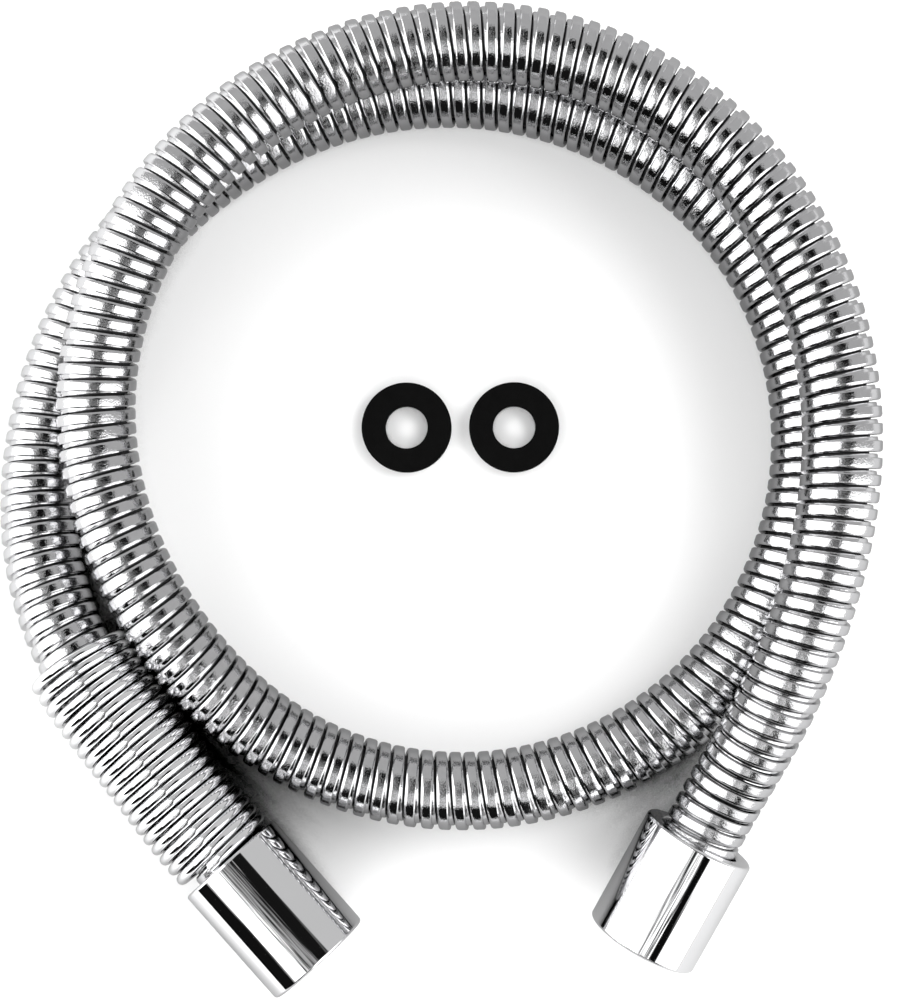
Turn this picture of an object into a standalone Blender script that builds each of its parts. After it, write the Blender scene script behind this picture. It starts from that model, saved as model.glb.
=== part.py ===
"""Flexible metal hose of a handheld bath sprayer, with its end nuts, spring and seals.

The hose lies coiled on a table, a little over one and a half turns. Units are metres
and +Z is up. The origin is the middle of the coil's bounding box, on the table.
"""
import math

import bpy
import numpy as np
from mathutils import Matrix, Vector

MM = 0.001
GAP = 0.3  # clearance kept between neighbouring pieces, mm

# Driving dimensions, mm
HOSE_OD = 16.5
ARMOUR_WALL = 1.0
LINER_OD = 12.0
LINER_ID = 9.4
NUT_OD = 24.0
NUT_BORE = 17.3
NUT_CHAMBER = 21.2
THREAD_MINOR = 18.7  # G1/2 female thread
FLANGE_OD = 18.2
STEM_OD = 7.8
STEM_BORE = 6.2
WASHER_OD = 19.5
WASHER_ID = 9.2
WASHER_THICKNESS = 3.0
SPRING_OD = 22.8
SPRING_WIRE = 2.0
SPRING_PITCH = 2.55
SPRING_TURNS = 20

# Where things sit along an end, mm from the nut's rear face towards its open face
PLAIN_NUT_LENGTH = 25.4
SPRING_NUT_LENGTH = 28.4
SHOULDER = 3.0  # the nut's rear wall
SLIP_RING_THICKNESS = 1.0
COLLAR_START = SHOULDER + SLIP_RING_THICKNESS + 2 * GAP
ARMOUR_END = 6.8
COLLAR_END = ARMOUR_END + GAP + 1.0
LINER_END = COLLAR_END + 0.1
FLANGE_START = LINER_END + GAP
FLANGE_THICKNESS = 2.0
FERRULE_START = -6.0
FERRULE_END = ARMOUR_END - 0.2
STEM_START = -6.5

# The coil's own centre in the object's frame, mm
COIL_CENTRE = (2.2, 18.7)

# Each end's axis points out of its nut: rear face centre about the coil's centre, mm,
# then heading and slope in degrees
PLAIN_END = {"rear": (53.6, -88.7, 15.1), "heading": -118.5, "slope": -7.0}
SPRING_END = {"rear": (-45.0, -93.6, 12.05), "heading": -48.0, "slope": 0.0}

# The hose's centreline between its ends: angle about the coil's centre in degrees,
# radius and height in mm. The first turn rides on the second and bridges to the spring.
COIL_ROUTE = [
    (-44, 92.8, 20.6),
    (-30, 87.0, 24.2),
    (0, 82.1, 25.0),
    (30, 80.3, 24.7),
    (60, 79.1, 24.1),
    (90, 76.6, 24.5),
    (120, 73.5, 25.3),
    (150, 72.2, 25.0),
    (180, 72.2, 21.5),
    (203, 72.4, 19.4),
    (223, 73.8, 16.4),
    (241, 76.5, 11.7),
    (262, 79.0, 8.8),
    (285, 80.4, 8.3),
    (315, 80.6, 8.3),
    (345, 79.1, 8.3),
    (375, 76.6, 8.3),
    (405, 73.5, 8.3),
    (435, 71.2, 8.3),
    (465, 71.1, 8.3),
    (495, 73.9, 8.3),
    (520, 79.2, 8.3),
    (540, 84.9, 8.4),
    (558, 90.4, 9.8),
    (574, 93.4, 11.8),
    (589, 95.5, 12.05),
]
END_STATIONS = (LINER_END, 0.0, -8.0)  # points of the centreline on an end's axis

ARMOUR_POINTS = 72
LINER_POINTS = 56
SMOOTH_SAMPLES = 2400
TURN_SEGMENTS = 30
POINTS_PER_SPRING_TURN = 9

CHROME = ("chrome", (0.80, 0.81, 0.82), 0.10, 1.0)
STEEL = ("polished_steel", (0.72, 0.72, 0.73), 0.16, 1.0)
BRASS = ("brass", (0.78, 0.62, 0.33), 0.25, 1.0)
NYLON = ("nylon", (0.86, 0.86, 0.83), 0.45, 0.0)
LINER = ("liner", (0.10, 0.10, 0.11), 0.55, 0.0)
RUBBER = ("rubber", (0.012, 0.012, 0.013), 0.60, 0.0)


def clear_scene():
    for obj in list(bpy.data.objects):
        bpy.data.objects.remove(obj, do_unlink=True)


def new_collection(name):
    collection = bpy.data.collections.new(name)
    bpy.context.scene.collection.children.link(collection)
    return collection


def paint(obj, finish):
    """Gives the object its own Principled material."""
    name, colour, roughness, metallic = finish
    material = bpy.data.materials.new(obj.name + "_" + name)
    material.use_nodes = True
    shader = material.node_tree.nodes["Principled BSDF"]
    shader.inputs["Base Color"].default_value = (*colour, 1.0)
    shader.inputs["Roughness"].default_value = roughness
    shader.inputs["Metallic"].default_value = metallic
    obj.data.materials.clear()
    obj.data.materials.append(material)


def end_axis(end):
    """(rear face centre in metres, unit vector out of the nut)."""
    heading, slope = math.radians(end["heading"]), math.radians(end["slope"])
    axis = Vector((
        math.cos(slope) * math.cos(heading),
        math.cos(slope) * math.sin(heading),
        math.sin(slope),
    ))
    rear = Vector(end["rear"]) + Vector((*COIL_CENTRE, 0.0))
    return rear * MM, axis


def along_end(end, station):
    rear, axis = end_axis(end)
    return rear + axis * station * MM


def route_points():
    """The hand-set points of the centreline, plain end first, in metres."""
    points = [along_end(PLAIN_END, station) for station in END_STATIONS]
    for angle, radius, height in COIL_ROUTE:
        turn = math.radians(angle)
        x = COIL_CENTRE[0] + radius * math.cos(turn)
        y = COIL_CENTRE[1] + radius * math.sin(turn)
        points.append(Vector((x, y, height)) * MM)
    points += [along_end(SPRING_END, station) for station in reversed(END_STATIONS)]
    return np.array([tuple(point) for point in points])


def smooth_curve(points, samples):
    """Evenly spaced points on the natural cubic spline through the given points."""
    chord = np.concatenate([[0.0], np.cumsum(np.linalg.norm(np.diff(points, axis=0), axis=1))])
    step = np.diff(chord)
    count = len(points)
    matrix, right = np.eye(count), np.zeros((count, 3))
    for i in range(1, count - 1):
        matrix[i, i - 1 : i + 2] = step[i - 1], 2 * (step[i - 1] + step[i]), step[i]
        slope_after = (points[i + 1] - points[i]) / step[i]
        slope_before = (points[i] - points[i - 1]) / step[i - 1]
        right[i] = 6 * (slope_after - slope_before)
    bend = np.linalg.solve(matrix, right)
    at = np.linspace(0.0, chord[-1], samples)
    k = np.clip(np.searchsorted(chord, at, side="right") - 1, 0, count - 2)
    width = step[k][:, None]
    before, after = (at - chord[k])[:, None], (chord[k + 1] - at)[:, None]
    curve = (bend[k] * after**3 + bend[k + 1] * before**3) / (6 * width)
    curve += (points[k] / width - bend[k] * width / 6) * after
    curve += (points[k + 1] / width - bend[k + 1] * width / 6) * before
    return evenly(curve, samples)


def lengths_along(curve):
    return np.concatenate([[0.0], np.cumsum(np.linalg.norm(np.diff(curve, axis=0), axis=1))])


def evenly(curve, samples, trim=0.0):
    """The curve again at equal spacing, with trim cut from both ends."""
    run = lengths_along(curve)
    at = np.linspace(trim, run[-1] - trim, samples)
    return np.stack([np.interp(at, run, curve[:, i]) for i in range(3)], axis=1)


def poly_curve(name, points, radius, bevel_resolution, caps):
    curve = bpy.data.curves.new(name, "CURVE")
    curve.dimensions = "3D"
    curve.bevel_depth = radius
    curve.bevel_resolution = bevel_resolution
    curve.use_fill_caps = caps
    spline = curve.splines.new("POLY")
    spline.points.add(len(points) - 1)
    for point, place in zip(spline.points, points):
        point.co = (*place, 1.0)
    return bpy.data.objects.new(name, curve)


def hollow_tube(name, collection, points, outer, wall, bevel_resolution, finish):
    """An open-ended tube along the points, with a wall of even thickness."""
    guide = poly_curve(name + "_guide", points, outer * MM / 2, bevel_resolution, False)
    collection.objects.link(guide)
    bpy.context.view_layer.update()
    shape = guide.evaluated_get(bpy.context.evaluated_depsgraph_get())
    mesh = bpy.data.meshes.new_from_object(shape)
    bpy.data.objects.remove(guide, do_unlink=True)
    mesh.name = name
    mesh.shade_smooth()
    tube = bpy.data.objects.new(name, mesh)
    collection.objects.link(tube)
    solid = tube.modifiers.new("Wall", "SOLIDIFY")
    solid.thickness = wall * MM
    solid.offset = -1.0
    solid.use_even_offset = True
    paint(tube, finish)
    return tube


def turned(name, collection, profile, finish, parent, station=0.0):
    """A ring whose closed profile, (radius, height) in mm, runs down its outer side."""
    mesh = bpy.data.meshes.new(name)
    corners = [(radius * MM, 0.0, height * MM) for radius, height in profile]
    edges = [(i, (i + 1) % len(corners)) for i in range(len(corners))]
    mesh.from_pydata(corners, edges, [])
    ring = bpy.data.objects.new(name, mesh)
    collection.objects.link(ring)
    screw = ring.modifiers.new("Turn", "SCREW")
    screw.axis = "Z"
    screw.angle = 2 * math.pi
    screw.steps = TURN_SEGMENTS
    screw.render_steps = TURN_SEGMENTS
    screw.use_merge_vertices = True
    screw.merge_threshold = 0.00001
    screw.use_smooth_shade = True
    ring.parent = parent
    ring.location = (0.0, 0.0, station * MM)
    paint(ring, finish)
    return ring


def end_frame(name, collection, end):
    """An empty on the nut's rear face, with its Z along the end's axis."""
    rear, axis = end_axis(end)
    empty = bpy.data.objects.new(name, None)
    empty.matrix_world = Matrix.Translation(rear) @ axis.to_track_quat("Z", "Y").to_matrix().to_4x4()
    collection.objects.link(empty)
    return empty


def make_nut(name, collection, frame, length):
    """Cylindrical swivel nut: rear bore round the hose, wide chamber, threaded mouth."""
    outer, bore = NUT_OD / 2, NUT_BORE / 2
    chamber, minor = NUT_CHAMBER / 2, THREAD_MINOR / 2
    relief_end = 12.0
    mouth = 1.0
    profile = [
        (outer - 0.5, length),
        (outer, length - 0.5),
        (outer, 0.4),
        (outer - 0.4, 0.0),
        (bore, 0.0),
        (bore, SHOULDER),
        (chamber, SHOULDER),
        (chamber, relief_end),
        (minor, relief_end + 1.0),
        (minor, length - mouth),
        (minor + mouth, length),
    ]
    turned(name, collection, profile, CHROME, frame)


def make_slip_ring(name, collection, frame):
    """Flat nylon ring that the nut turns on."""
    inner, outer = NUT_BORE / 2 + 0.1, FLANGE_OD / 2 + 0.7
    top, bottom = SLIP_RING_THICKNESS, 0.0
    profile = [(outer, top), (outer, bottom), (inner, bottom), (inner, top)]
    turned(name, collection, profile, NYLON, frame, SHOULDER + GAP)


def make_collar(name, collection, frame):
    """Pressed steel cap over the armour's end: the nut's rear wall can't pass it."""
    outer = FLANGE_OD / 2
    inner = HOSE_OD / 2 + GAP
    hole = LINER_OD / 2 + GAP
    profile = [
        (outer, COLLAR_END),
        (outer, COLLAR_START),
        (inner, COLLAR_START),
        (inner, ARMOUR_END + GAP),
        (hole, ARMOUR_END + GAP),
        (hole, COLLAR_END),
    ]
    turned(name, collection, profile, STEEL, frame)


def make_ferrule(name, collection, frame):
    """Sleeve crimped round the liner over the tail's stem."""
    inner = LINER_OD / 2 + GAP
    outer = HOSE_OD / 2 - ARMOUR_WALL - 2 * GAP
    profile = [(outer, FERRULE_END), (outer, FERRULE_START), (inner, FERRULE_START), (inner, FERRULE_END)]
    turned(name, collection, profile, STEEL, frame)


def make_tail(name, collection, frame):
    """Brass hose tail: sealing flange, barbed stem inside the liner, clear bore."""
    flange, bore = FLANGE_OD / 2, STEM_BORE / 2
    stem, barb = STEM_OD / 2, STEM_OD / 2 + 0.25
    front = FLANGE_START + FLANGE_THICKNESS
    barbs = 3
    reach = (FLANGE_START - 1.0 - STEM_START) / barbs
    profile = [(flange, front), (flange, FLANGE_START), (stem, FLANGE_START)]
    for i in range(barbs):
        top = FLANGE_START - 1.0 - i * reach
        profile += [(stem, top), (barb, top - 0.2), (stem, top - 2.2)]
    profile += [(stem, STEM_START), (bore, STEM_START), (bore, front)]
    turned(name, collection, profile, BRASS, frame)


def make_end(prefix, collection, end, nut_length):
    frame = end_frame(prefix + "_frame", collection, end)
    make_nut(prefix + "_nut", collection, frame, nut_length)
    make_slip_ring(prefix + "_slip_ring", collection, frame)
    make_collar(prefix + "_collar", collection, frame)
    make_ferrule(prefix + "_ferrule", collection, frame)
    make_tail(prefix + "_tail", collection, frame)


def make_spring(collection, curve):
    """Close-wound spring round the hose, from just behind the nut."""
    run = lengths_along(curve)
    nut_face = run[-1] - LINER_END * MM
    start = nut_face - (GAP + SPRING_WIRE / 2) * MM
    count = SPRING_TURNS * POINTS_PER_SPRING_TURN + 1
    radius = (SPRING_OD - SPRING_WIRE) / 2 * MM
    points = []
    for i in range(count):
        turn = i / POINTS_PER_SPRING_TURN
        at = start - turn * SPRING_PITCH * MM
        centre, ahead = point_at(curve, run, at), point_at(curve, run, at + MM)
        tangent = (ahead - centre).normalized()
        side = tangent.cross(Vector((0.0, 0.0, 1.0))).normalized()
        up = side.cross(tangent)
        angle = 2 * math.pi * turn
        points.append(centre + radius * (math.cos(angle) * side + math.sin(angle) * up))
    spring = poly_curve("anti_kink_spring", points, SPRING_WIRE * MM / 2, 2, True)
    collection.objects.link(spring)
    paint(spring, STEEL)


def point_at(curve, run, at):
    return Vector([float(np.interp(at, run, curve[:, i])) for i in range(3)])


def make_washer(name, collection, x, y):
    """Loose flat sealing washer lying on the table."""
    outer, inner = WASHER_OD / 2, WASHER_ID / 2
    ease = 0.25
    top = WASHER_THICKNESS
    place = bpy.data.objects.new(name + "_frame", None)
    place.location = ((COIL_CENTRE[0] + x) * MM, (COIL_CENTRE[1] + y) * MM, 0.0)
    collection.objects.link(place)
    profile = [
        (outer - ease, top),
        (outer, top - ease),
        (outer, ease),
        (outer - ease, 0.0),
        (inner, 0.0),
        (inner, top),
    ]
    turned(name, collection, profile, RUBBER, place)


def build():
    clear_scene()
    parts = new_collection("bath_sprayer_hose")
    curve = smooth_curve(route_points(), SMOOTH_SAMPLES)
    liner_points = evenly(curve, LINER_POINTS)
    armour_points = evenly(curve, ARMOUR_POINTS, (LINER_END - ARMOUR_END) * MM)
    hollow_tube("armour_hose", parts, armour_points, HOSE_OD, ARMOUR_WALL, 4, CHROME)
    liner_wall = (LINER_OD - LINER_ID) / 2
    hollow_tube("inner_tube", parts, liner_points, LINER_OD, liner_wall, 4, LINER)
    make_spring(parts, curve)
    make_end("plain_end", parts, PLAIN_END, PLAIN_NUT_LENGTH)
    make_end("spring_end", parts, SPRING_END, SPRING_NUT_LENGTH)
    make_washer("sealing_washer_left", parts, -8.3, -1.8)
    make_washer("sealing_washer_right", parts, 15.05, -1.8)


build()
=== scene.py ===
"""Looks of the bath sprayer's hose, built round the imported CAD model.

Everything is in metres in the CAD's frame: +Z up, the coil lying on the floor at z = 0.
The hose's route repeats part.py's own points.
"""

import math

import bpy
import numpy as np
from mathutils import Matrix, Vector


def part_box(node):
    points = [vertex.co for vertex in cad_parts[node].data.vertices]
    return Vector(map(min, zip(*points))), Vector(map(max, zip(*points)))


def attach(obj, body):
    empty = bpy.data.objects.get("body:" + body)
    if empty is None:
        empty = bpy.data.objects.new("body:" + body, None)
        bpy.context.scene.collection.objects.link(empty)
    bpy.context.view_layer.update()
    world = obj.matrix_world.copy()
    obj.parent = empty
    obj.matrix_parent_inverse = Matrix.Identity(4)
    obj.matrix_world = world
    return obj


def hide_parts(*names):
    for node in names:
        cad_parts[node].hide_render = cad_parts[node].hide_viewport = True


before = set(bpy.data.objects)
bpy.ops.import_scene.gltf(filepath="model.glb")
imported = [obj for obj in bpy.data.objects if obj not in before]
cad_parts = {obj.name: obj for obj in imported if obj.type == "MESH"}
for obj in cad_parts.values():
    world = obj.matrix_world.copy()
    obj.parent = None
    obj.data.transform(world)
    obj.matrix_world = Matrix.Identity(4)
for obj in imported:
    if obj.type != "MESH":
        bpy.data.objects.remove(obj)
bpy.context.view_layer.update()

# The coil's own centre, and each end's rear face centre about it
COIL_CENTRE = Vector((0.0022, 0.0187, 0.0))
PLAIN_END = {"rear": (0.0536, -0.0887, 0.0151), "heading": -118.5, "slope": -7.0}
SPRING_END = {"rear": (-0.0450, -0.0936, 0.01205), "heading": -48.0, "slope": 0.0}

# The hose's centreline between its ends: angle about the coil's centre in degrees,
# then radius and height
COIL_ROUTE = [
    (-44, 0.0928, 0.0206),
    (-30, 0.0870, 0.0242),
    (0, 0.0821, 0.0250),
    (30, 0.0803, 0.0247),
    (60, 0.0791, 0.0241),
    (90, 0.0766, 0.0245),
    (120, 0.0735, 0.0253),
    (150, 0.0722, 0.0250),
    (180, 0.0722, 0.0215),
    (203, 0.0724, 0.0194),
    (223, 0.0738, 0.0164),
    (241, 0.0765, 0.0117),
    (262, 0.0790, 0.0088),
    (285, 0.0804, 0.0083),
    (315, 0.0806, 0.0083),
    (345, 0.0791, 0.0083),
    (375, 0.0766, 0.0083),
    (405, 0.0735, 0.0083),
    (435, 0.0712, 0.0083),
    (465, 0.0711, 0.0083),
    (495, 0.0739, 0.0083),
    (520, 0.0792, 0.0083),
    (540, 0.0849, 0.0084),
    (558, 0.0904, 0.0098),
    (574, 0.0934, 0.0118),
    (589, 0.0955, 0.01205),
]
LINER_END = 0.0082
ARMOUR_END = 0.0068
END_STATIONS = (LINER_END, 0.0, -0.0080)
CURVE_SAMPLES = 4000

HOSE_OD = 0.0165
HOSE_RADIUS = HOSE_OD / 2

# The armour's winding: one stepped strip, its profile as (along the hose, depth below
# the ridge's top). The last points follow the local pitch, up to the groove.
PITCH = 0.00336
PITCH_DROP = 0.00022
PITCH_DROP_REACH = 0.09
RIDGE_PROFILE = [
    (-0.00122, 0.00170),
    (-0.00121, 0.00066),
    (-0.00110, 0.00029),
    (-0.00082, 0.00008),
    (-0.00048, 0.0),
    (0.00092, 0.0),
    (0.00113, 0.00014),
    (0.00122, 0.00095),
]
# The lower tier behind each ridge: fraction of its width, then depth
TIER_PROFILE = [(0.62, 0.00100), (1.0, 0.00114), (1.0, 0.00170)]
NARROWEST_TIER = 0.0001
GROOVE = 0.00037
TURN_STEPS = 31

SPRING_WIRE = 0.0023
SPRING_OD = 0.0228
SPRING_PITCH = 0.00255
SPRING_TURNS = 20.6
SPRING_START_ANGLE = 77.0
SPRING_STEPS = 64
SPRING_CLEARANCE = 0.0002

# Radii, and heights from a nut's rear face, apart from the bore, the chamber and the
# thread, which are diameters
NUT_RADIUS = 0.0120
NUT_FACE_RADIUS = 0.0115
NUT_FACE_BEVEL = 0.0005
NUT_REAR_BEVEL = 0.0004
NUT_BORE = 0.01730
NUT_CHAMBER = 0.0212
CHAMBER_END = 0.012
PLAIN_NUT_LENGTH = 0.0254
SPRING_NUT_LENGTH = 0.0284
NUT_EASE = 0.00018
NUT_STEPS = 160
SHOULDER = 0.003
THREAD_MINOR = 0.01863
THREAD_MAJOR = 0.02085
THREAD_PITCH = 0.001814
THREAD_START = 0.013
THREAD_LEAD = 0.0002
THREAD_RUN_IN = 0.0006
THREAD_STEP = 0.00018
# The thread's V is drawn this much too steep and too low, which flattens crest and root
THREAD_STEEPER = 1.3
THREAD_LOWER = 0.15
MOUTH_BEVEL = 0.0012

FLANGE_RADIUS = 0.0091
FLANGE_START = 0.0085
FLANGE_FRONT = 0.0105
STEM_BORE = 0.0062
STEM_RADIUS = 0.0039
STEM_END = -0.0063
BARB_TOPS = (0.0073, 0.0026, -0.0021)
BARB_DEPTH = 0.00022
BARB_LAND = 0.0002
BARB_LENGTH = 0.0022
SEAL_RINGS = (0.0062, 0.0074)
SEAL_RING_HALF = 0.0002
SEAL_RING_DEPTH = 0.00025
TAIL_BEVEL = 0.0004
TAIL_EASE = 0.00008
TAIL_STEPS = 96

WASHER_RADIUS = 0.00975
WASHER_HOLE = 0.0046
WASHER_THICKNESS = 0.003
WASHER_EASE = 0.0004
WASHER_STEPS = 144

# Edges sharper than these, in degrees, stay sharp in the smooth shading
SHARP_WINDING = 33
SHARP_WIRE = 50
SHARP_TURNED = 40
WIRE_SIDES = 14
PATH_POINTS = 120
BUMP_DEPTH = 0.0001

# The photograph's viewpoint
CAMERA_OFFSET = Vector((0.01632, -0.03705, 0.450))
CAMERA_AXIS = Vector((-0.0302, 0.0434, -0.9986)).normalized()
CAMERA_LENS = 74.5

# Painted shade, darkening the colour in the winding's grooves: how near another surface
# has to be, then between which shares of open sky it fades out
PAINTED_SHADE_REACH = 0.003
PAINTED_SHADE_FADE = (0.10, 0.36)
PAINTED_SHADE_COLOUR = (0.03, 0.03, 0.03)


# ---------------------------------------------------------------- materials


def add_node(tree, kind, **values):
    """A node with the given properties, or default values for its named sockets."""
    node = tree.nodes.new(kind)
    for name, value in values.items():
        if hasattr(node, name):
            setattr(node, name, value)
        else:
            node.inputs[name.replace("_", " ")].default_value = value
    return node


def noise(tree, scale, detail=3.0):
    place = add_node(tree, "ShaderNodeTexCoord")
    texture = add_node(tree, "ShaderNodeTexNoise", Scale=scale, Detail=detail)
    tree.links.new(place.outputs["Object"], texture.inputs["Vector"])
    return texture.outputs["Fac"]


def mapped(tree, value, low, high):
    scaled = add_node(tree, "ShaderNodeMapRange", To_Min=low, To_Max=high)
    tree.links.new(value, scaled.inputs["Value"])
    return scaled.outputs["Result"]


def smooth_step(tree, value, low, high):
    node = add_node(tree, "ShaderNodeMapRange", interpolation_type="SMOOTHSTEP")
    node.inputs["From Min"].default_value = low
    node.inputs["From Max"].default_value = high
    tree.links.new(value, node.inputs["Value"])
    return node.outputs["Result"]


def math_node(tree, operation, *values):
    node = add_node(tree, "ShaderNodeMath", operation=operation)
    for socket, value in zip(node.inputs, values):
        if isinstance(value, (int, float)):
            socket.default_value = value
        else:
            tree.links.new(value, socket)
    return node.outputs["Value"]


def cosine(degrees):
    return math.cos(math.radians(degrees))


def finish_material(name, dark, light, rough, metallic, grain, bump, bump_scale):
    """A material whose colour and roughness drift with noise, over a fine bump.

    grain and bump_scale are the two noises' scales, and bump is the bump's strength.
    """
    material = bpy.data.materials.new(name)
    material.use_nodes = True
    tree = material.node_tree
    shader = tree.nodes["Principled BSDF"]
    shader.inputs["Metallic"].default_value = metallic
    mix = add_node(tree, "ShaderNodeMix", data_type="RGBA")
    mix.inputs["A"].default_value = (*dark, 1.0)
    mix.inputs["B"].default_value = (*light, 1.0)
    drift = noise(tree, grain)
    tree.links.new(drift, mix.inputs["Factor"])
    tree.links.new(mix.outputs["Result"], shader.inputs["Base Color"])
    tree.links.new(mapped(tree, drift, *rough), shader.inputs["Roughness"])
    relief = add_node(tree, "ShaderNodeBump", Strength=bump, Distance=BUMP_DEPTH)
    tree.links.new(noise(tree, bump_scale, 4.0), relief.inputs["Height"])
    tree.links.new(relief.outputs["Normal"], shader.inputs["Normal"])
    return material


def with_painted_shade(material):
    """The material with painted shade: its colour darkened deep in its grooves and where strands
    touch.
    """
    tree = material.node_tree
    colour = tree.nodes["Principled BSDF"].inputs["Base Color"]
    # Painted shade: the base colour turns near black where ambient occlusion finds surfaces close
    # by
    hollow = add_node(tree, "ShaderNodeAmbientOcclusion", Distance=PAINTED_SHADE_REACH)
    painted_shade = add_node(tree, "ShaderNodeMix", data_type="RGBA")
    painted_shade.inputs["A"].default_value = (*PAINTED_SHADE_COLOUR, 1.0)
    tree.links.new(colour.links[0].from_socket, painted_shade.inputs["B"])
    tree.links.new(smooth_step(tree, hollow.outputs["AO"], *PAINTED_SHADE_FADE), painted_shade.inputs["Factor"])
    tree.links.new(painted_shade.outputs["Result"], colour)
    return material


def hose_chrome():
    material = finish_material(
        "hose_chrome", (0.58, 0.58, 0.59), (0.70, 0.70, 0.71), (0.02, 0.08), 1.0, 300, 0.38, 2400
    )
    # Painted shade darkens the colour in the grooves and where strands touch
    return with_painted_shade(material)


def nut_chrome():
    return finish_material(
        "nut_chrome", (0.88, 0.88, 0.89), (0.93, 0.93, 0.94), (0.02, 0.04), 1.0, 120, 0.01, 250
    )


def spring_steel():
    material = finish_material(
        "spring_steel", (0.90, 0.90, 0.91), (0.96, 0.96, 0.97), (0.05, 0.12), 1.0, 400, 0.06, 800
    )
    # Painted shade darkens the colour in the grooves and where strands touch
    return with_painted_shade(material)


def collar_steel():
    return finish_material(
        "collar_steel", (0.52, 0.52, 0.53), (0.64, 0.64, 0.65), (0.22, 0.36), 1.0, 500, 0.15, 1500
    )


def brass():
    return finish_material(
        "brass", (0.70, 0.52, 0.24), (0.82, 0.66, 0.36), (0.16, 0.30), 1.0, 350, 0.12, 1800
    )


def nylon():
    return finish_material(
        "nylon", (0.80, 0.80, 0.76), (0.88, 0.88, 0.85), (0.40, 0.52), 0.0, 250, 0.10, 1200
    )


def tube_rubber():
    return finish_material(
        "tube_rubber", (0.012, 0.012, 0.013), (0.03, 0.03, 0.032), (0.45, 0.62), 0.0, 300, 0.2, 1500
    )


def washer_rubber():
    dark, light = (0.001, 0.001, 0.001), (0.003, 0.003, 0.003)
    material = finish_material("washer_rubber", dark, light, (0.50, 0.68), 0.0, 500, 0.35, 2600)
    shader = material.node_tree.nodes["Principled BSDF"]
    shader.inputs["Specular IOR Level"].default_value = 0.05
    return material


# ---------------------------------------------------------------- the route


def end_axis(end):
    """(rear face centre, unit vector out of the nut)."""
    heading, slope = math.radians(end["heading"]), math.radians(end["slope"])
    flat = math.cos(slope)
    axis = Vector((flat * math.cos(heading), flat * math.sin(heading), math.sin(slope)))
    return COIL_CENTRE + Vector(end["rear"]), axis


def end_matrix(end):
    """Places a turned piece: its Z runs out of the nut from the rear face."""
    rear, axis = end_axis(end)
    return Matrix.Translation(rear) @ axis.to_track_quat("Z", "Y").to_matrix().to_4x4()


def route_points():
    points = []
    rear, axis = end_axis(PLAIN_END)
    points += [rear + axis * station for station in END_STATIONS]
    for angle, radius, height in COIL_ROUTE:
        turn = math.radians(angle)
        offset = Vector((radius * math.cos(turn), radius * math.sin(turn), height))
        points.append(COIL_CENTRE + offset)
    rear, axis = end_axis(SPRING_END)
    points += [rear + axis * station for station in reversed(END_STATIONS)]
    return np.array([tuple(point) for point in points])


def smooth_curve(points, samples):
    """Evenly spaced points on the natural cubic spline through the given points."""
    chord = np.concatenate([[0.0], np.cumsum(np.linalg.norm(np.diff(points, axis=0), axis=1))])
    step = np.diff(chord)
    count = len(points)
    matrix, right = np.eye(count), np.zeros((count, 3))
    for i in range(1, count - 1):
        matrix[i, i - 1 : i + 2] = step[i - 1], 2 * (step[i - 1] + step[i]), step[i]
        slope_after = (points[i + 1] - points[i]) / step[i]
        slope_before = (points[i] - points[i - 1]) / step[i - 1]
        right[i] = 6 * (slope_after - slope_before)
    bend = np.linalg.solve(matrix, right)
    at = np.linspace(0.0, chord[-1], samples)
    k = np.clip(np.searchsorted(chord, at, side="right") - 1, 0, count - 2)
    width = step[k][:, None]
    before, after = (at - chord[k])[:, None], (chord[k + 1] - at)[:, None]
    curve = (bend[k] * after**3 + bend[k + 1] * before**3) / (6 * width)
    curve += (points[k] / width - bend[k] * width / 6) * after
    curve += (points[k + 1] / width - bend[k + 1] * width / 6) * before
    run = lengths_along(curve)
    even = np.linspace(0.0, run[-1], samples)
    return np.stack([np.interp(even, run, curve[:, i]) for i in range(3)], axis=1)


def lengths_along(curve):
    return np.concatenate([[0.0], np.cumsum(np.linalg.norm(np.diff(curve, axis=0), axis=1))])


class Route:
    """The centreline, with a level frame at any length along it."""

    def __init__(self):
        self.curve = smooth_curve(route_points(), CURVE_SAMPLES)
        self.run = lengths_along(self.curve)
        self.length = self.run[-1]
        tangent = np.gradient(self.curve, self.run, axis=0)
        self.tangent = tangent / np.linalg.norm(tangent, axis=1)[:, None]
        self.bend = np.gradient(self.tangent, self.run, axis=0)

    def at(self, along, values):
        return np.stack([np.interp(along, self.run, values[:, i]) for i in range(3)], axis=-1)

    def frame(self, along):
        """Centre, tangent, outward side and upward side at each length."""
        tangent = self.at(along, self.tangent)
        tangent /= np.linalg.norm(tangent, axis=1)[:, None]
        side = np.cross(tangent, (0.0, 0.0, 1.0))
        side /= np.linalg.norm(side, axis=1)[:, None]
        return self.at(along, self.curve), tangent, side, np.cross(side, tangent)


# ---------------------------------------------------------------- meshes


def mesh_object(name, points, faces, material):
    mesh = bpy.data.meshes.new(name)
    mesh.from_pydata(points.tolist(), [], faces)
    mesh.materials.append(material)
    piece = bpy.data.objects.new(name, mesh)
    bpy.context.scene.collection.objects.link(piece)
    return piece


def soften(piece, sharp_degrees):
    """Smooth shading that keeps flat faces flat, with sharp edges above an angle."""
    piece.data.shade_smooth()
    piece.data.set_sharp_from_angle(angle=math.radians(sharp_degrees))
    weighted = piece.modifiers.new("Flat_faces", "WEIGHTED_NORMAL")
    weighted.keep_sharp = True
    weighted.weight = 90


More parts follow.
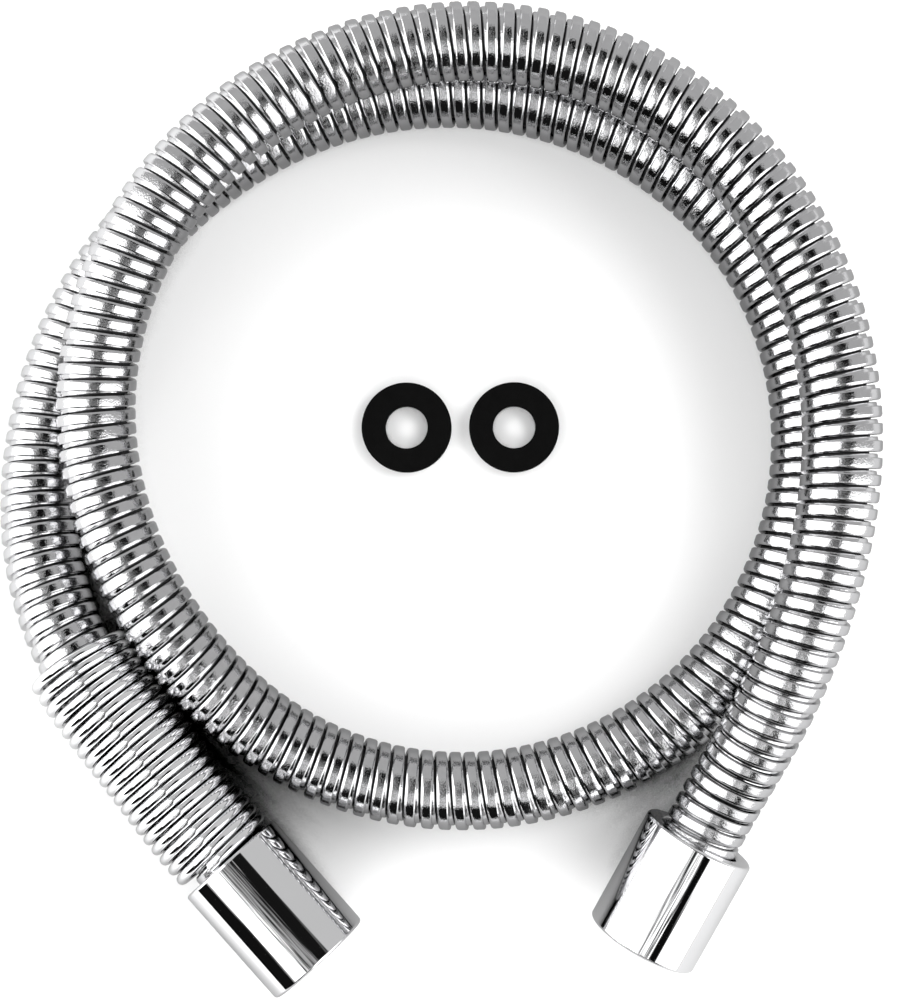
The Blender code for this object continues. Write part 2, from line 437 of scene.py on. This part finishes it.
def swept(name, rings, material, sharp_degrees, closed_sweep=False):
    """Skins closed rings of points, (ring, point, xyz), with flat caps at open ends."""
    count, around = rings.shape[:2]
    index = np.arange(count * around).reshape(count, around)
    if closed_sweep:
        index = np.vstack([index, index[:1]])
    ahead = np.roll(index, -1, axis=1)
    quads = np.stack([index[:-1], ahead[:-1], ahead[1:], index[1:]], axis=-1)
    faces = quads.reshape(-1, 4).tolist()
    if not closed_sweep:
        faces.append(index[0, ::-1].tolist())
        faces.append(index[-1].tolist())
    piece = mesh_object(name, rings.reshape(-1, 3), faces, material)
    soften(piece, sharp_degrees)
    return piece


def turned(name, profile, place, material, steps, relief=None):
    """A ring turned about its local Z from a closed (radius, height) profile.

    The profile runs down the outer side and up the inner side. relief, if given, adds
    to the radius from the turn and the height, as a thread does.
    """
    turn = np.linspace(0.0, 2 * math.pi, steps, endpoint=False)[:, None]
    radius = np.array([point[0] for point in profile])[None]
    height = np.array([point[1] for point in profile])[None]
    if relief is not None:
        radius = radius + relief(turn, height, radius)
    rings = np.stack(
        [radius * np.cos(turn), radius * np.sin(turn), height + 0.0 * turn], axis=-1
    )
    piece = swept(name, rings, material, SHARP_TURNED, closed_sweep=True)
    piece.matrix_world = place
    return piece


def eased(corners, radius, steps):
    """Rounds each corner of a closed profile, by at most 0.45 of each edge there."""
    rounded = []
    count = len(corners)
    for i, corner in enumerate(corners):
        here = Vector(corner)
        before, after = Vector(corners[i - 1]), Vector(corners[(i + 1) % count])
        reach = min(radius, (before - here).length * 0.45, (after - here).length * 0.45)
        start = here + (before - here).normalized() * reach
        end = here + (after - here).normalized() * reach
        for step in range(steps + 1):
            t = step / steps
            point = start * (1 - t) ** 2 + here * 2 * t * (1 - t) + end * t**2
            rounded.append(tuple(point))
    return rounded


# ---------------------------------------------------------------- pieces


def winding_stations(route):
    """Length along the hose and local pitch at each step of the armour's winding."""
    start, stop = LINER_END - ARMOUR_END, route.length - (LINER_END - ARMOUR_END)
    first = start - RIDGE_PROFILE[0][0]
    last = stop - PITCH - RIDGE_PROFILE[0][0]
    along = [first]
    while along[-1] < last:
        pitch = PITCH - PITCH_DROP * math.exp(-along[-1] / PITCH_DROP_REACH)
        along.append(along[-1] + pitch / TURN_STEPS)
    along = np.array(along)
    return along, PITCH - PITCH_DROP * np.exp(-along / PITCH_DROP_REACH)


def make_winding(route, material):
    """The armour: a stepped strip wound right-handed, each turn over the next."""
    along, pitch = winding_stations(route)
    centre, tangent, side, up = route.frame(along)
    turn = -2 * math.pi * np.arange(len(along)) / TURN_STEPS
    outward = np.cos(turn)[:, None] * side + np.sin(turn)[:, None] * up
    stretch = 1.0 - HOSE_RADIUS * np.sum(outward * route.at(along, route.bend), axis=1)
    foot = RIDGE_PROFILE[0][0]
    tier_end = pitch * stretch + foot - GROOVE
    ridge_end = RIDGE_PROFILE[-1][0]
    tier = np.maximum(tier_end - ridge_end, NARROWEST_TIER)
    columns = [(np.full(len(along), a), depth) for a, depth in RIDGE_PROFILE]
    columns += [(ridge_end + share * tier, depth) for share, depth in TIER_PROFILE]
    rings = np.stack(
        [
            centre + a[:, None] * tangent + (HOSE_RADIUS - depth) * outward
            for a, depth in columns
        ],
        axis=1,
    )
    hose = swept("hose_winding", rings, material, SHARP_WINDING)
    path = route.at(np.linspace(0.0, route.length, PATH_POINTS), route.curve)
    return hose, path


def make_spring(route, material):
    """Close-wound wire from the nut back along the hose, its ends cut square."""
    nut_face = route.length - LINER_END
    steps = int(SPRING_TURNS * SPRING_STEPS)
    turns = np.arange(steps + 1) / SPRING_STEPS
    along = nut_face - SPRING_WIRE / 2 - SPRING_CLEARANCE - turns * SPRING_PITCH
    angle = math.radians(SPRING_START_ANGLE) + 2 * math.pi * turns
    centre, tangent, side, up = route.frame(along)
    radius = (SPRING_OD - SPRING_WIRE) / 2
    outward = np.cos(angle)[:, None] * side + np.sin(angle)[:, None] * up
    middle = centre + radius * outward
    ahead = np.gradient(middle, axis=0)
    ahead /= np.linalg.norm(ahead, axis=1)[:, None]
    across = np.cross(ahead, outward)
    around = np.linspace(0.0, 2 * math.pi, WIRE_SIDES, endpoint=False)
    rings = np.stack(
        [
            middle + SPRING_WIRE / 2 * (math.cos(a) * outward + math.sin(a) * across)
            for a in around
        ],
        axis=1,
    )
    return swept("kink_guard_spring", rings, material, SHARP_WIRE)


def thread_relief(start, stop):
    """A function that cuts a female V thread between two heights."""
    depth = (THREAD_MAJOR - THREAD_MINOR) / 2

    def relief(turn, height, radius):
        phase = height / THREAD_PITCH - turn / (2 * math.pi)
        wave = np.abs((phase % 1.0) * 2 - 1)
        rounded = np.clip(wave * THREAD_STEEPER - THREAD_LOWER, 0.0, 1.0)
        inside = (radius < THREAD_MAJOR / 2) & (height > start) & (height < stop)
        run_out = np.clip((stop - height) / THREAD_PITCH, 0, 1)
        run_in = np.clip((height - start) / THREAD_RUN_IN, 0, 1)
        return np.where(inside, depth * rounded * run_out * run_in, 0.0)

    return relief


def make_nut(name, end, length, material):
    """Swivel nut: eased outer edges, countersunk rear bore, threaded socket."""
    bore, chamber, minor = NUT_BORE / 2, NUT_CHAMBER / 2, THREAD_MINOR / 2
    mouth, bevel = length - MOUTH_BEVEL, NUT_REAR_BEVEL
    outer = [(NUT_FACE_RADIUS, length), (NUT_RADIUS, length - NUT_FACE_BEVEL)]
    rear = [(NUT_RADIUS, bevel), (NUT_RADIUS - bevel, 0.0), (bore + bevel, 0.0), (bore, bevel)]
    inner = [(bore, SHOULDER), (chamber, SHOULDER), (chamber, CHAMBER_END), (minor, THREAD_START)]
    thread = [(minor, z) for z in np.arange(THREAD_START + THREAD_LEAD, mouth, THREAD_STEP)]
    opening = [(minor, mouth), (minor + MOUTH_BEVEL, length)]
    profile = eased(outer + rear + inner, NUT_EASE, 2) + thread + opening
    relief = thread_relief(THREAD_START, mouth)
    return turned(name, profile, end_matrix(end), material, NUT_STEPS, relief)


def make_tail(name, end, material):
    """Brass hose tail: flange with two fine turned grooves, barbed stem, bore."""
    flange, bore, stem = FLANGE_RADIUS, STEM_BORE / 2, STEM_RADIUS
    outline = [(flange, FLANGE_FRONT), (flange, FLANGE_START), (stem, FLANGE_START)]
    for top in BARB_TOPS:
        outline += [(stem, top), (stem + BARB_DEPTH, top - BARB_LAND), (stem, top - BARB_LENGTH)]
    outline += [(stem, STEM_END), (bore, STEM_END), (bore, FLANGE_FRONT - TAIL_BEVEL)]
    outline += [(bore + TAIL_BEVEL, FLANGE_FRONT)]
    for ring in SEAL_RINGS:
        outline += [(ring - SEAL_RING_HALF, FLANGE_FRONT), (ring, FLANGE_FRONT - SEAL_RING_DEPTH)]
        outline += [(ring + SEAL_RING_HALF, FLANGE_FRONT)]
    return turned(name, eased(outline, TAIL_EASE, 2), end_matrix(end), material, TAIL_STEPS)


def make_washer(name, node, material):
    """Flat rubber washer with moulded, slightly soft edges, lying where the CAD's does."""
    low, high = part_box(node)
    middle = (Vector(low) + Vector(high)) / 2
    place = Matrix.Translation((middle.x, middle.y, 0.0))
    top = WASHER_THICKNESS
    outside = [(WASHER_RADIUS, top), (WASHER_RADIUS, 0.0)]
    hole = [(WASHER_HOLE, 0.0), (WASHER_HOLE, top)]
    return turned(name, eased(outside + hole, WASHER_EASE, 5), place, material, WASHER_STEPS)


# ---------------------------------------------------------------- the studio


def make_camera():
    camera = bpy.data.objects.new("Camera", bpy.data.cameras.new("Camera"))
    camera.data.lens = CAMERA_LENS
    across = CAMERA_AXIS.cross(Vector((0.0, 1.0, 0.0))).normalized()
    up = across.cross(CAMERA_AXIS)
    turn = Matrix((across, up, -CAMERA_AXIS)).transposed().to_4x4()
    camera.matrix_world = Matrix.Translation(COIL_CENTRE + CAMERA_OFFSET) @ turn
    camera.data.clip_start = 0.01
    bpy.context.scene.collection.objects.link(camera)
    bpy.context.scene.camera = camera


# Studio panels and flags as seen from the table, each painted over those before it:
# heading, half width, start and end angle from straight up (all in degrees), brightness
OVERHEAD = [
    (262.0, 46.0, 14.0, 60.0, 0.62),  # near haze
    (278.0, 16.0, 17.0, 46.0, 0.95),  # front haze
    (112.0, 24.0, 9.0, 32.0, 0.5),  # far haze
]
PANELS = [
    (75.0, 82.0, 31.0, 120.0, 0.56),  # far wall
    (300.0, 40.0, 70.0, 120.0, 0.42),  # near wall
    (45.0, 40.0, 6.0, 33.0, 0.008),  # dark flag, far right
    (181.0, 37.0, 14.0, 120.0, 2.6),  # left softbox
    (223.0, 15.0, 27.0, 64.0, 2.2),  # left softbox's near end, overhead
    (-25.0, 21.0, 24.0, 120.0, 2.6),  # right softbox
    (-51.0, 8.0, 27.0, 100.0, 1.7),  # right softbox's near end
    (-66.0, 8.0, 19.0, 56.0, 0.004),  # dark gap beside it
    (264.0, 18.0, 44.0, 91.0, 0.01),  # near flag
    (232.0, 14.0, 58.0, 98.0, 0.006),  # near flag's left end
]
PANEL_SOFTNESS = 3.0
# The panels' edges wander by this much of a unit direction
WANDER = 0.16
WANDER_SCALE = 16.0
# The ceiling's own light, the heights between which it fades in, and its speckle:
# from dark to bright, as the noise goes between two values
CEILING = 0.22
CEILING_EDGE = (cosine(60), cosine(8))
SPECKLE = (0.02, 2.1)
SPECKLE_NOISE = (0.44, 0.58)
SPECKLE_SCALE = 34.0
# The even light on matt surfaces, which fades out between two heights, and the share
# of it that is left after a bounce off a matt surface
AMBIENT = 3.4
AMBIENT_EDGE = (0.85, 0.6)
SPILL = 0.03
BACKGROUND = 0.98
KEY_PLACE = (0.78, 0.30, 0.85)
KEY_SIZE = 0.6
KEY_WATTS = 4.0
FLOOR_REACH = 3.0
# The floor as the chrome sees it, a painted reflection: its grey, then for each paler
# side its heading, how far out it starts and ends, and its own grey
FLOOR_IN_CHROME = 0.31
FLOOR_FADES = ((180.0, 0.03, 0.11, 0.68), (-35.0, 0.085, 0.115, 0.48))
# The floor's colour fades to black, a painted shade, as the open share of its sky falls
# between these, counting only what stands within the reach
PAINTED_CREVICE_SHADE = (0.24, 0.38)
PAINTED_CREVICE_SHADE_REACH = 0.03


def panel_mask(tree, x, y, z, level, heading, half, start, end):
    """1 inside a panel that stands round the table, 0 outside, with soft edges."""
    east = math_node(tree, "MULTIPLY", x, cosine(heading))
    north = math_node(tree, "MULTIPLY", y, math.sin(math.radians(heading)))
    facing = math_node(tree, "DIVIDE", math_node(tree, "ADD", east, north), level)
    soft = PANEL_SOFTNESS
    wide = smooth_step(tree, facing, cosine(half + soft), cosine(max(half - soft, 0)))
    above = smooth_step(tree, z, cosine(end + soft), cosine(end - soft))
    below = smooth_step(tree, z, cosine(start - soft), cosine(start + soft))
    return math_node(tree, "MULTIPLY", math_node(tree, "MULTIPLY", wide, above), below)


def painted(tree, light, panels, directions):
    """The light with each panel laid over what is there already."""
    for heading, half, start, end, brightness in panels:
        mask = panel_mask(tree, *directions, heading, half, start, end)
        change = math_node(tree, "MULTIPLY", math_node(tree, "SUBTRACT", brightness, light), mask)
        light = math_node(tree, "ADD", light, change)
    return light


def wandering(tree, direction):
    """The direction moved a little by noise, so the panels' edges aren't ruled straight."""
    drift = add_node(tree, "ShaderNodeTexNoise", Scale=WANDER_SCALE, Detail=2.0)
    tree.links.new(direction, drift.inputs["Vector"])
    centred = add_node(tree, "ShaderNodeVectorMath", operation="SUBTRACT")
    tree.links.new(drift.outputs["Color"], centred.inputs[0])
    centred.inputs[1].default_value = (0.5, 0.5, 0.5)
    moved = add_node(tree, "ShaderNodeVectorMath", operation="MULTIPLY_ADD")
    tree.links.new(centred.outputs["Vector"], moved.inputs[0])
    moved.inputs[1].default_value = (WANDER, WANDER, WANDER)
    tree.links.new(direction, moved.inputs[2])
    return moved.outputs["Vector"]


def studio_light(tree):
    """The brightness the chrome sees in each direction, and the direction's height."""
    place = add_node(tree, "ShaderNodeTexCoord")
    split = add_node(tree, "ShaderNodeSeparateXYZ")
    tree.links.new(wandering(tree, place.outputs["Generated"]), split.inputs["Vector"])
    x, y, z = (split.outputs[name] for name in "XYZ")
    squares = [math_node(tree, "MULTIPLY", part, part) for part in (x, y)]
    level = math_node(tree, "SQRT", math_node(tree, "ADD", *squares))
    level = math_node(tree, "MAXIMUM", level, 0.0001)
    directions = (x, y, z, level)
    light = math_node(tree, "MULTIPLY", smooth_step(tree, z, *CEILING_EDGE), CEILING)
    light = painted(tree, light, OVERHEAD, directions)
    speckle = add_node(tree, "ShaderNodeTexNoise", Scale=SPECKLE_SCALE, Detail=5.0)
    tree.links.new(place.outputs["Generated"], speckle.inputs["Vector"])
    uneven = mapped(tree, speckle.outputs["Fac"], *SPECKLE)
    uneven.node.inputs["From Min"].default_value = SPECKLE_NOISE[0]
    uneven.node.inputs["From Max"].default_value = SPECKLE_NOISE[1]
    light = painted(tree, math_node(tree, "MULTIPLY", light, uneven), PANELS, directions)
    return light, z


def seen_as(tree, shown, kind, level):
    """What is shown, except that rays of one kind see the given brightness."""
    plain = add_node(tree, "ShaderNodeBackground", Strength=1.0)
    if isinstance(level, float):
        plain.inputs["Color"].default_value = (level, level, level, 1.0)
    else:
        tree.links.new(level, plain.inputs["Color"])
    choose = add_node(tree, "ShaderNodeMixShader")
    tree.links.new(kind, choose.inputs["Fac"])
    tree.links.new(shown, choose.inputs[1])
    tree.links.new(plain.outputs["Background"], choose.inputs[2])
    return choose.outputs["Shader"]


def make_world():
    """Soft panels for the chrome, even ambient light, and a plain pale backdrop."""
    world = bpy.data.worlds.new("Studio")
    bpy.context.scene.world = world
    world.use_nodes = True
    world.cycles.sampling_method = "NONE"
    tree = world.node_tree
    tree.nodes.clear()
    light, z = studio_light(tree)
    rays = add_node(tree, "ShaderNodeLightPath")
    studio = add_node(tree, "ShaderNodeBackground", Strength=1.0)
    tree.links.new(light, studio.inputs["Color"])
    shown = studio.outputs["Background"]
    spilled = math_node(tree, "MINIMUM", rays.outputs["Diffuse Depth"], 1.0)
    low_sky = math_node(tree, "MULTIPLY", smooth_step(tree, z, *AMBIENT_EDGE), AMBIENT)
    spill = math_node(tree, "MULTIPLY", low_sky, SPILL)
    shown = seen_as(tree, shown, spilled, spill)
    shown = seen_as(tree, shown, rays.outputs["Is Diffuse Ray"], low_sky)
    shown = seen_as(tree, shown, rays.outputs["Is Camera Ray"], BACKGROUND)
    output = add_node(tree, "ShaderNodeOutputWorld")
    tree.links.new(shown, output.inputs["Surface"])


def make_key_light():
    """Soft light from the upper right, which throws the shadows to the lower left."""
    light = bpy.data.lights.new("Key", "AREA")
    light.shape = "DISK"
    light.size = KEY_SIZE
    light.energy = KEY_WATTS
    lamp = bpy.data.objects.new("Key", light)
    lamp.location = KEY_PLACE
    lamp.rotation_mode = "QUATERNION"
    lamp.rotation_quaternion = (-lamp.location).to_track_quat("-Z", "Y")
    lamp.visible_glossy = False
    lamp.visible_camera = False
    bpy.context.scene.collection.objects.link(lamp)


def floor_in_chrome(tree):
    """The floor's painted reflection: the grey the chrome sees, paler towards some sides."""
    place = add_node(tree, "ShaderNodeTexCoord")
    split = add_node(tree, "ShaderNodeSeparateXYZ")
    tree.links.new(place.outputs["Object"], split.inputs["Vector"])
    level = FLOOR_IN_CHROME
    for heading, start, full, grey in FLOOR_FADES:
        east = math_node(tree, "MULTIPLY", split.outputs["X"], cosine(heading))
        north = math_node(tree, "MULTIPLY", split.outputs["Y"], math.sin(math.radians(heading)))
        reach = smooth_step(tree, math_node(tree, "ADD", east, north), start, full)
        faded = mapped(tree, reach, FLOOR_IN_CHROME, grey)
        level = math_node(tree, "MAXIMUM", level, faded)
    return level


def floor_paper():
    """White paper with painted shade darkening its colour in deep crevices, and a painted
    reflection: the chrome sees it as grey in places.
    """
    material = finish_material(
        "floor_paper", (0.93, 0.93, 0.93), (0.95, 0.95, 0.95), (0.75, 0.85), 0.0, 8, 0.02, 400
    )
    tree = material.node_tree
    paper = tree.nodes["Principled BSDF"]
    paper.inputs["Specular IOR Level"].default_value = 0.0
    level = floor_in_chrome(tree)
    # Painted shade: the paper's colour goes black where ambient occlusion finds other surfaces
    # close by
    hollow = add_node(tree, "ShaderNodeAmbientOcclusion", Distance=PAINTED_CREVICE_SHADE_REACH)
    open_sky = smooth_step(tree, hollow.outputs["AO"], *PAINTED_CREVICE_SHADE)
    grey = add_node(tree, "ShaderNodeBsdfDiffuse")
    tree.links.new(math_node(tree, "MULTIPLY", level, open_sky), grey.inputs["Color"])
    shaded = add_node(tree, "ShaderNodeMix", data_type="RGBA")
    shaded.inputs["A"].default_value = (0.0, 0.0, 0.0, 1.0)
    tree.links.new(open_sky, shaded.inputs["Factor"])
    tree.links.new(paper.inputs["Base Color"].links[0].from_socket, shaded.inputs["B"])
    tree.links.new(shaded.outputs["Result"], paper.inputs["Base Color"])
    # Painted reflection: glossy rays see the floor in its painted grey instead of white paper
    rays = add_node(tree, "ShaderNodeLightPath")
    choose = add_node(tree, "ShaderNodeMixShader")
    tree.links.new(rays.outputs["Is Glossy Ray"], choose.inputs["Fac"])
    tree.links.new(paper.outputs["BSDF"], choose.inputs[1])
    tree.links.new(grey.outputs["BSDF"], choose.inputs[2])
    tree.links.new(choose.outputs["Shader"], tree.nodes["Material Output"].inputs["Surface"])
    return material


def make_floor():
    signs = np.array([(-1, -1, 0), (1, -1, 0), (1, 1, 0), (-1, 1, 0)])
    floor = mesh_object("floor", FLOOR_REACH * signs, [(0, 1, 2, 3)], floor_paper())


# ---------------------------------------------------------------- assembly


def stand_in(piece, body, node):
    """The piece rides on a body, in place of a CAD node, which is hidden."""
    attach(piece, body)
    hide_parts(node)


def add_end(prefix, end, nut_length, chrome, metal):
    """An end's swivel nut and the hose tail inside it."""
    nut = make_nut(prefix + "_swivel_nut", end, nut_length, chrome)
    stand_in(nut, prefix + "_swivel", prefix + "_nut")
    tail = make_tail(prefix + "_hose_tail", end, metal)
    stand_in(tail, "hose", prefix + "_tail")


def add_washers():
    rubber = washer_rubber()
    for side in ("left", "right"):
        node = "sealing_washer_" + side
        washer = make_washer("rubber_washer_" + side, node, rubber)
        stand_in(washer, side + "_washer", node)


def dress_cad_nodes():
    """Gives each carried-over CAD node its own material."""
    steel, plastic = collar_steel(), nylon()
    finishes = {"inner_tube": tube_rubber()}
    for prefix in ("plain_end", "spring_end"):
        finishes[prefix + "_collar"] = steel
        finishes[prefix + "_ferrule"] = steel
        finishes[prefix + "_slip_ring"] = plastic
    for node, material in finishes.items():
        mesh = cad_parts[node].data
        mesh.materials.clear()
        mesh.materials.append(material)


def build():
    make_camera()
    bpy.context.scene.view_settings.view_transform = "Standard"
    make_world()
    make_key_light()
    make_floor()
    route = Route()
    hose, path = make_winding(route, hose_chrome())
    stand_in(hose, "hose", "armour_hose")
    spring = make_spring(route, spring_steel())
    stand_in(spring, "hose", "anti_kink_spring")
    chrome, metal = nut_chrome(), brass()
    add_end("plain_end", PLAIN_END, PLAIN_NUT_LENGTH, chrome, metal)
    add_end("spring_end", SPRING_END, SPRING_NUT_LENGTH, chrome, metal)
    add_washers()
    dress_cad_nodes()


build()
